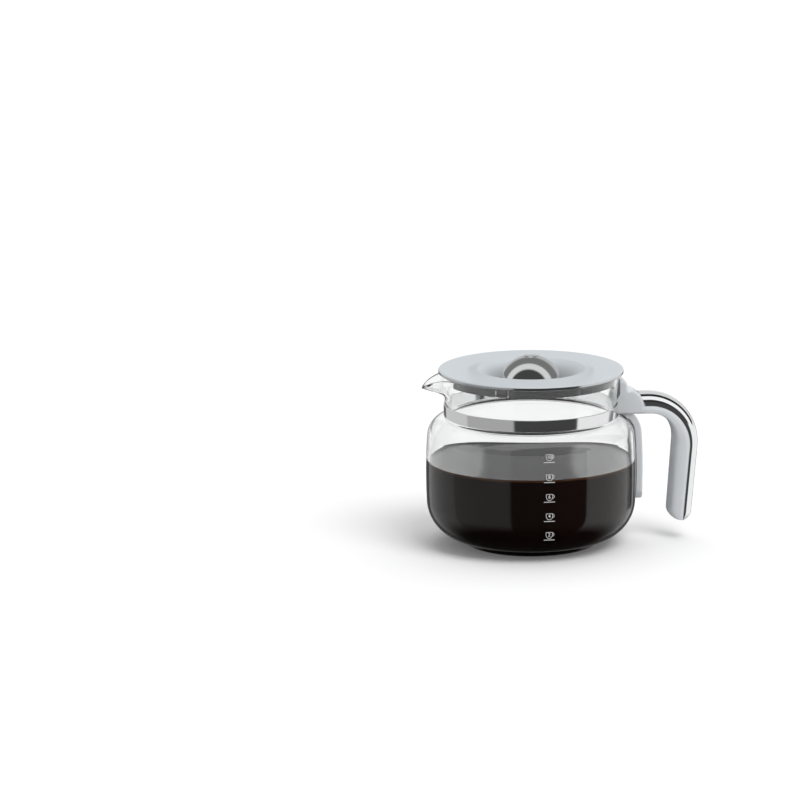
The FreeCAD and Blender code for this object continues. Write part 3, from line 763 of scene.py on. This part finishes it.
@dataclass
class Lid:
    """Disc, funnel, dome and cap of the lid."""

    flange_r: float = 0.0668
    flange_z: float = 0.1261
    top: float = 0.1287
    edge: float = 0.0009
    rim_w: float = 0.002  # bright rim, in from the edge
    funnel_r: float = 0.0393
    funnel_depth: float = 0.0085
    funnel_power: float = 1.12
    funnel_steps: int = 40
    hole_r: float = 0.0245
    wall: float = 0.0020
    under_round: float = 0.0004
    collar_h: float = 0.0059
    collar_round: float = 0.0003
    spacing: float = 0.002
    around: int = 360
    dome_r: float = 0.0230
    dome_rise: float = 0.0098
    dome_wall: float = 0.0016
    dome_steps: int = 60
    inside_steps: int = 30
    cap_r: float = 0.0050
    cap_steps: int = 14
    groove: float = 1.6  # half width of the groove round the cap, in degrees
    groove_depth: float = 0.0007
    groove_steps: int = 4

    def build_cover(self, material: Material) -> None:
        """Disc with a funnel z = top - depth s ^ power, s from 0 at its rim to 1 at the hole, and collar."""
        collar_r = self.hole_r + self.wall
        slope = self.funnel_depth / (self.funnel_r - self.hole_r)
        under_r = self.funnel_r + self.wall
        foot_z = self.top - self.funnel_depth - self.collar_h
        share = np.linspace(1, 0, self.funnel_steps)
        throat = np.column_stack([self.hole_r + (self.funnel_r - self.hole_r) * (1 - share),
                                  self.top - self.funnel_depth * share ** self.funnel_power])
        outline = np.vstack([throat, rounded([
            (self.flange_r, self.top, self.edge),
            (self.flange_r, self.flange_z, self.edge / 2),
            (under_r, self.flange_z, self.under_round),
            (collar_r, self.flange_z - slope * (under_r - collar_r), self.under_round),
            (collar_r, foot_z, self.collar_round),
            (self.hole_r, foot_z, self.collar_round),
            (self.hole_r, self.top, 0.0),
        ])[:-1]])
        outline = resample(np.vstack([outline, outline[:1]]), self.spacing)[:-1]
        add_piece("lid_disc", spin(outline, even_turn(self.around)), material, Body.LID,
                  ["lid_cover"], ring=True)

    def build_dome(self, material: Material) -> None:
        """Half ball with a shallow ring groove round its cap, on a short wall."""
        centre = (0.0, self.top + self.dome_rise - self.dome_r)
        foot = self.top - self.funnel_depth - self.collar_h
        inside = self.dome_r - self.dome_wall
        ring = math.degrees(math.acos(self.cap_r / self.dome_r))
        profile = np.vstack([
            [[self.dome_r, foot]],
            arc(centre, self.dome_r, 0, ring - self.groove, self.dome_steps),
            arc(centre, self.dome_r - self.groove_depth, ring - self.groove / 2, ring + self.groove / 2,
                self.groove_steps),
            arc(centre, self.dome_r, ring + self.groove, 90, self.cap_steps),
            arc(centre, inside, 90, 0, self.inside_steps),
            [[inside, foot]],
        ])
        add_piece("dome_shell", spin(profile, even_turn()), material, Body.LID,
                  ["lid_dome", "dome_cap"], ring=True)


@dataclass
class Handle:
    """Arm, bend and leg: a bright channel over a grey grip."""

    arm_top: float = 0.1081
    arm_h: float = 0.0142
    root_x: float = 0.0830
    root_slant: float = 26.0
    reach_r: float = 0.0374  # bend of the bright back
    inner_r: float = 0.0178
    seam_r: float = 0.0299
    leg_depth: float = 0.0176
    leg_slant: float = 5.2
    leg_clear: float = 0.0132
    toe: float = 0.0060
    heel: float = 0.0080
    taper: float = 0.0010
    end_steps: int = 16
    trim_arm: float = 0.0087
    trim_leg: float = 0.0059
    bend: Pair = (0.0839, 0.0707)
    width: float = 0.0196
    trim_power: float = 2.0
    grip_power: float = 3.6
    root_power: float = 12.0
    crown: float = 0.0014
    lap: float = 0.0060  # grip over the bracket's boss
    swell_at: tuple[float, ...] = (0.0, 0.6, 1.0, 2.0)  # 1 where the bend starts, 2 where it ends
    swell: tuple[float, ...] = (0.985, 1.02, 1.02, 1.0)
    across: int = 49
    along: int = 40

    def leg_point(self, depth: Any, above: Any) -> Array:
        """Points (x, z) of the leg: toe - depth outward + above upward, along the leaning leg's axes."""
        lean = math.radians(self.leg_slant)
        cos, sin = math.cos(lean), math.sin(lean)
        toe_x = (self.reach_r + self.bend[0] * cos - self.bend[1] * sin + self.leg_clear * sin) / cos
        depth, above = np.broadcast_arrays(np.asarray(depth, float), np.asarray(above, float))
        return np.stack([toe_x - depth * cos + above * sin,
                         self.leg_clear + depth * sin + above * cos], axis=-1)

    def guide(self, z: float, depth: float, radius: float, end: Array, back: float = 0.0) -> Array:
        """Line along the arm at a height, round the bend, and down the leg at a depth.

        Args:
            z: height of the arm's line.
            depth: depth of the leg's line.
            radius: radius of the bend between them.
            end: last points of the line, at the leg's end.
            back: start before the root.

        Returns:
            Array of (x, z), with the same count for every guide.
        """
        lean = math.radians(self.leg_slant)
        low = self.leg_point(depth, 0.0)
        corner = np.array([low[0] + (z - low[1]) * math.tan(lean), z])
        down = np.array([-math.sin(lean), -math.cos(lean)])
        cut = radius / math.tan((np.pi / 2 - lean) / 2)
        slant = (self.arm_top - self.trim_arm - z) * math.tan(math.radians(self.root_slant))
        start = np.array([self.root_x - back + slant, z])
        centre = corner + np.array([-cut, -radius])
        turn = np.linspace(np.pi / 2, -lean, self.along)
        bend = centre + radius * np.column_stack([np.cos(turn), np.sin(turn)])
        arm = np.linspace(start, bend[0], self.along, endpoint=False)
        leg = np.linspace(corner + cut * down, end[0], self.along, endpoint=False)[1:]
        return np.vstack([arm, bend, leg, end])

    def sweep(self, seam: Array, far: Array, power: Array, swell: Any = 1.0) -> Array:
        """Carry half a superellipse along two guides.

        A point is seam + v (far - seam), sideways by u, with |2u / width| ^ p + v ^ p = 1.

        Args:
            seam: guide of the open side.
            far: guide of the crown.
            power: p at each station, from round to square.
            swell: growth of the section at each station.

        Returns:
            Closed grid, its ends drawn to a point.
        """
        turn = np.linspace(0, np.pi, self.across)
        lift = 2 / power[:, None]
        grow = np.broadcast_to(swell, len(seam))[:, None]
        side = grow * self.width / 2 * np.sign(np.cos(turn)) * np.abs(np.cos(turn)) ** lift
        out = grow * np.abs(np.sin(turn)) ** lift
        flat = seam[:, None] + out[..., None] * (far - seam)[:, None]
        rows = np.stack([flat[..., 0], side, flat[..., 1]], axis=-1)
        ends = [np.broadcast_to(row.mean(axis=0), row.shape)[None] for row in (rows[0], rows[-1])]
        return np.concatenate([ends[0], rows, ends[1]])

    def build_trim(self, chrome: Material) -> None:
        """Bright back of the arm and leg, from the seam out to its crown."""
        turn = np.radians(np.linspace(0, 90, self.end_steps))
        above = self.toe * (1 - np.sin(turn))
        round_off = (self.toe + self.crown) * (1 - np.cos(turn)) - self.crown
        far_end = self.leg_point(np.minimum(round_off, self.trim_leg), above)
        far = self.guide(self.arm_top + self.crown, -self.crown, self.reach_r + self.crown, far_end)
        seam = self.guide(self.arm_top - self.trim_arm, self.trim_leg, self.seam_r,
                          self.leg_point(self.trim_leg, above))
        trim = self.sweep(seam, far, np.full(len(seam), self.trim_power))
        add_piece("bright_back", trim, chrome, Body.JUG, ["handle_trim"])

    def build_grip(self, grey: Material) -> None:
        """Grey inner side, from the seam in to the fingers, square at its root and rounder down the leg."""
        turn = np.radians(np.linspace(0, 90, self.end_steps))
        above = self.heel * (1 - np.sin(turn))
        far_end = self.leg_point(self.leg_depth - self.taper - self.heel * (1 - np.cos(turn)), above)
        far = self.guide(self.arm_top - self.arm_h, self.leg_depth, self.inner_r, far_end, self.lap)
        seam = self.guide(self.arm_top - self.trim_arm, self.trim_leg, self.seam_r,
                          self.leg_point(self.trim_leg, above), self.lap)
        station = np.arange(len(seam)) / self.along
        power = self.root_power + (self.grip_power - self.root_power) * np.clip(station - 1, 0, 1)
        grip = self.sweep(seam, far, power, np.interp(station, self.swell_at, self.swell))
        add_piece("grey_grip", grip, grey, Body.JUG, ["handle_grip"])


# Studio


def mirror_shell(name: str, centre: Triple, radius: float, low: float) -> tuple[Object, Shader]:
    """Sphere centre + r (cos e cos a, cos e sin a, sin e) above a lowest elevation, for mirrors only."""
    rows, columns = 33, 64
    rise = np.radians(np.linspace(low, 90, rows))
    ball = spin(np.column_stack([np.cos(rise), np.sin(rise)]), even_turn(columns))
    mesh = bpy.data.meshes.new(name)
    mesh.from_pydata((np.array(centre) + radius * ball).reshape(-1, 3), [],
                     grid_faces(rows, columns, False, True).tolist())
    shade = Shader.named(name)
    mesh.materials.append(shade.owner)
    shell = link(name, mesh)
    shell.visible_camera = False
    shell.visible_diffuse = False
    shell.visible_transmission = False
    shell.visible_shadow = False
    return shell, shade


@dataclass
class StudioWalls:
    """Walls for mirrors and glass only: low panels by bearing, and above them rings round one aim.

    Bearings are degrees from the camera, to the right, and heights are degrees above the floor. The rings,
    pale, dark, white and dark, lie round the direction that a side facing -Y mirrors.
    """

    azimuth: float  # of the camera
    radius: float = 2.6
    aim: Triple = (0.169, -0.961, -0.220)
    panel_base: float = 0.15
    panels: tuple[Triple, ...] = ((0.50, -152, -148), (-0.20, -94, -90), (-0.39, -24, -20), (0.90, 61, 65),
                                  (-0.80, 150, 154))
    ring_base: float = 0.74
    rings: tuple[Triple, ...] = ((-0.71, -0.31, -0.29), (0.97, 0.07, 0.09), (-0.97, 0.55, 0.57))
    ring_rise: Pair = (22.0, 28.0)
    right_from: float = 61.0  # bearing past which the rings start lower
    right_rise: Pair = (7.0, 10.0)
    back_from: float = 115.0  # bearing past which the wall is even
    back_rise: Pair = (2.0, 6.0)
    back_level: float = 0.74
    coffee_span: Pair = (164.0, 166.0)  # bearings of the panel that the coffee's surface mirrors
    coffee_top: float = 28.0
    shadow_right: Pair = (178.1, 178.6)  # bearings of the shadow in the middle of that panel
    shadow_left: Pair = (177.8, 178.3)
    shadow_depth: float = 0.58
    ground: float = 0.02
    ground_rise: Pair = (-50.0, -18.0)

    def build(self) -> None:
        """Sphere whose light follows the bearing, the height and the angle to the aim."""
        walls, shade = mirror_shell("studio_walls", (0.0, 0.0, 0.0), self.radius, -90.0)
        walls.visible_transmission = True
        x, y, z = shade.axes()
        bearing = x.turn(-1.0 * y) - self.azimuth
        bearing = bearing - 360.0 * bearing.over(180.0)
        leftward = -1.0 * bearing
        height = z.turn((x * x + y * y).root())
        towards = (x * self.aim[0] + y * self.aim[1] + z * self.aim[2]) * (1 / self.radius)
        level = bearing.stairs(self.panel_base, self.panels)
        low_edge = height.step(*self.back_rise)
        behind = bearing.over(self.back_from).peak(bearing.under(-self.back_from)) * low_edge
        level = level + behind * (self.back_level - level)
        right = height.step(*self.right_rise) * bearing.over(self.right_from)
        high = height.step(*self.ring_rise).peak(right)
        level = level + high * (towards.stairs(self.ring_base, self.rings) - level)
        panel = bearing.step(*self.coffee_span).peak(leftward.step(*self.coffee_span))
        panel = panel * low_edge * height.under(self.coffee_top)
        shadow = bearing.step(*self.shadow_right).peak(leftward.step(*self.shadow_left))
        level = level + panel * (1.0 - self.shadow_depth * shadow - level)
        level = self.ground + height.step(*self.ground_rise) * (level - self.ground)
        shade.surface(shade.glow(level))


@dataclass
class DomeTent:
    """Small shell round the lid's dome, dark in the middle of its front with a white ring round that."""

    centre: Triple = (0.0, 0.0, 0.1162)
    radius: float = 0.048
    low: float = 17.0
    aim: Triple = (-0.308, -0.947, 0.087)
    ring_base: float = 0.64
    rings: tuple[Triple, ...] = ((-0.38, -0.48, -0.28), (0.72, 0.16, 0.28), (-0.90, 0.51, 0.61))

    def build(self) -> None:
        """Shell that glows inwards and is clear from outside."""
        _, shade = mirror_shell("dome_tent", self.centre, self.radius, self.low)
        x, y, z = shade.axes()
        towards = (x * self.aim[0] + y * self.aim[1] + (z - self.centre[2]) * self.aim[2]) * (1 / self.radius)
        glow = shade.glow(towards.stairs(self.ring_base, self.rings))
        inside = shade.node("NewGeometry", out="Backfacing")
        clear = shade.node("BsdfTransparent")
        shade.surface(shade.node("MixShader", in_0=inside, in_1=clear, in_2=glow))


def hang_light(name: str, data: bpy.types.Light, along: Vector, place: Sequence[float] = (0, 0, 0)) -> None:
    """Hang a light that mirrors and glass don't show, shining along a direction."""
    holder = link(name, data)
    holder.location = place
    holder.rotation_mode = "QUATERNION"
    holder.rotation_quaternion = along.to_track_quat("-Z", "Y")
    holder.visible_glossy = False
    holder.visible_transmission = False


@dataclass(frozen=True)
class Sun:
    """Wide overhead light that is even over the whole floor."""

    towards: Triple  # from the object to the light
    spread: float  # degrees
    strength: float  # watts per square metre

    def hang(self) -> None:
        """Put the light into the scene."""
        data = bpy.data.lights.new("overhead", "SUN")
        data.angle = math.radians(self.spread)
        data.energy = self.strength
        hang_light("overhead", data, -Vector(self.towards))


@dataclass(frozen=True)
class Lamp:
    """Soft rectangular lamp."""

    name: str
    place: Triple
    aim: Triple
    size: Pair
    power: float  # watts

    def hang(self) -> None:
        """Put the lamp into the scene."""
        data = bpy.data.lights.new(self.name, "AREA")
        data.shape = "RECTANGLE"
        data.size, data.size_y = self.size
        data.energy = self.power
        hang_light(self.name, data, Vector(self.aim) - Vector(self.place), self.place)


@dataclass
class Studio:
    """Floor, lights, reflecting walls and the camera."""

    focal_px: float = 5523.4
    frame_px: float = 800.0
    sensor: float = 36.0
    clip: float = 60.0
    azimuth: float = -10.0
    elevation: float = 12.69
    distance: float = 4.0
    target: Triple = (0.0, 0.0, 0.065)
    target_px: Pair = (530.94, 454.48)
    floor_half: float = 9.0
    floor_albedo: float = 0.86
    floor_glow: float = 0.08
    sky: float = 0.48
    lights: tuple[Sun | Lamp, ...] = (
        Sun((0.36, -0.55, 1.0), 34.0, 1.55),
        Sun((0.15, 0.35, 1.0), 50.0, 0.75),
        Lamp("right_window", (1.1, -1.1, 0.8), (0.0, 0.0, 0.08), (0.8, 0.9), 1.5),
    )

    def camera(self) -> None:
        """Camera aimed so that the target lands on its pixel, with no shift."""
        a, e = math.radians(self.azimuth), math.radians(self.elevation)
        back = Vector((math.sin(a) * math.cos(e), -math.cos(a) * math.cos(e), math.sin(e)))
        place = Vector(self.target) + back * self.distance
        ahead = -back
        right = ahead.cross(Vector((0, 0, 1))).normalized()
        up = right.cross(ahead)
        half = self.frame_px / 2
        yaw = math.atan((self.target_px[0] - half) / self.focal_px)
        axis = ahead * math.cos(yaw) - right * math.sin(yaw)
        side = right * math.cos(yaw) + ahead * math.sin(yaw)
        pitch = math.atan((half - self.target_px[1]) / self.focal_px * math.cos(yaw))
        look = axis * math.cos(pitch) - up * math.sin(pitch)
        top = up * math.cos(pitch) + axis * math.sin(pitch)
        data = bpy.data.cameras.new("camera")
        data.sensor_width = self.sensor
        data.lens = self.focal_px / self.frame_px * self.sensor
        data.clip_end = self.clip
        holder = link("camera", data)
        turn = Matrix((side, top, -look)).transposed().to_4x4()
        holder.matrix_world = Matrix.Translation(place) @ turn
        bpy.context.scene.camera = holder

    def floor(self) -> None:
        """Pale floor that keeps the shadow and is white to the camera elsewhere."""
        size = self.floor_half
        mesh = bpy.data.meshes.new("floor")
        mesh.from_pydata([(-size, -size, 0), (size, -size, 0), (size, size, 0), (-size, size, 0)], [],
                         [(0, 1, 2, 3)])
        shade = Shader.named("floor_white")
        paper = shade.node("BsdfDiffuse", Color=(*[self.floor_albedo] * 3, 1.0))
        through = shade.node("LightPath", out="Is Transmission Ray")
        seen = shade.node("LightPath", out="Is Camera Ray").peak(through)
        glow = shade.node("Emission", Color=WHITE, Strength=self.floor_glow * seen)
        mesh.materials.append(shade.surface(shade.node("AddShader", in_0=paper, in_1=glow)))
        plane = link("floor", mesh)
        plane.visible_glossy = False

    def world(self) -> None:
        """Even white surround."""
        world = bpy.data.worlds.new("surround")
        bpy.context.scene.world = world
        shade = Shader(world)
        shade.surface(shade.node("Background", Color=WHITE, Strength=self.sky), "OutputWorld")

    def build(self) -> None:
        """Everything round the object."""
        self.camera()
        self.floor()
        self.world()
        StudioWalls(self.azimuth).build()
        DomeTent().build()
        for light in self.lights:
            light.hang()


def make_finishes(lid: Lid) -> dict[str, Material]:
    """Materials by slot of the record, and of the two pieces that differ from their slot."""
    rimmed = RimmedPlastic((0.52, 0.558, 0.587), 0.38, (0.55, 0.56, 0.565), lid.top - lid.edge,
                           lid.flange_r - lid.rim_w)
    finishes = {
        "bright_chrome": Polished((0.86, 0.87, 0.88), 0.03),
        "band_steel": Polished((0.80, 0.80, 0.81), 0.07),
        "grey_plastic": Moulded((0.64, 0.662, 0.682), 0.34, coat=0.2),
        "lid_plastic": rimmed,
        # painted shade: the grey insert is coloured near black to stand in for the shade inside the lid
        "insert_painted_shade": Moulded((0.035, 0.036, 0.037), 0.25),
        "dome_chrome": Polished((0.62, 0.63, 0.63), 0.09),
        "fastener_steel": Polished((0.62, 0.62, 0.63), 0.25),
        "silicone": Moulded((0.20, 0.20, 0.21), 0.7),
    }
    made = {name: finish.material(name) for name, finish in finishes.items()}
    return {**made, "glass": ClearGlass().material("clear_glass")}


def dress_nodes(nodes: dict[str, Object], finishes: dict[str, Material]) -> None:
    """Give every CAD node the finish of its record slot."""
    slots = {row["node"]: row["material_slot"] for row in frame["record"]["subparts"]}
    for name, node in nodes.items():
        node.data.materials.clear()
        node.data.materials.append(finishes[slots[name]])
    # the insert takes the near-black painted shade instead of its slot's finish
    nodes["lid_insert"].data.materials[0] = finishes["insert_painted_shade"]


def main() -> None:
    """Dress the nodes, build the pieces and set the studio."""
    logging.basicConfig(level=logging.INFO, format="%(name)s: %(message)s")
    bpy.context.scene.view_settings.view_transform = "Standard"
    lid = Lid()
    finishes = make_finishes(lid)
    dress_nodes(frame["nodes"], finishes)
    jug = GlassJug()
    jug.build_glass(finishes["glass"])
    brew = Brew()
    jug.build_coffee(brew.sides("coffee"), brew.top("coffee_surface", jug.belly_r))
    CupMarks(jug).build(Print().material("mark_print"))
    NeckBand().build(finishes["band_steel"])
    lid.build_cover(finishes["lid_plastic"])
    lid.build_dome(finishes["dome_chrome"])
    handle = Handle()
    handle.build_trim(finishes["bright_chrome"])
    handle.build_grip(finishes["grey_plastic"])
    Studio().build()


if __name__ == "__main__":
    main()
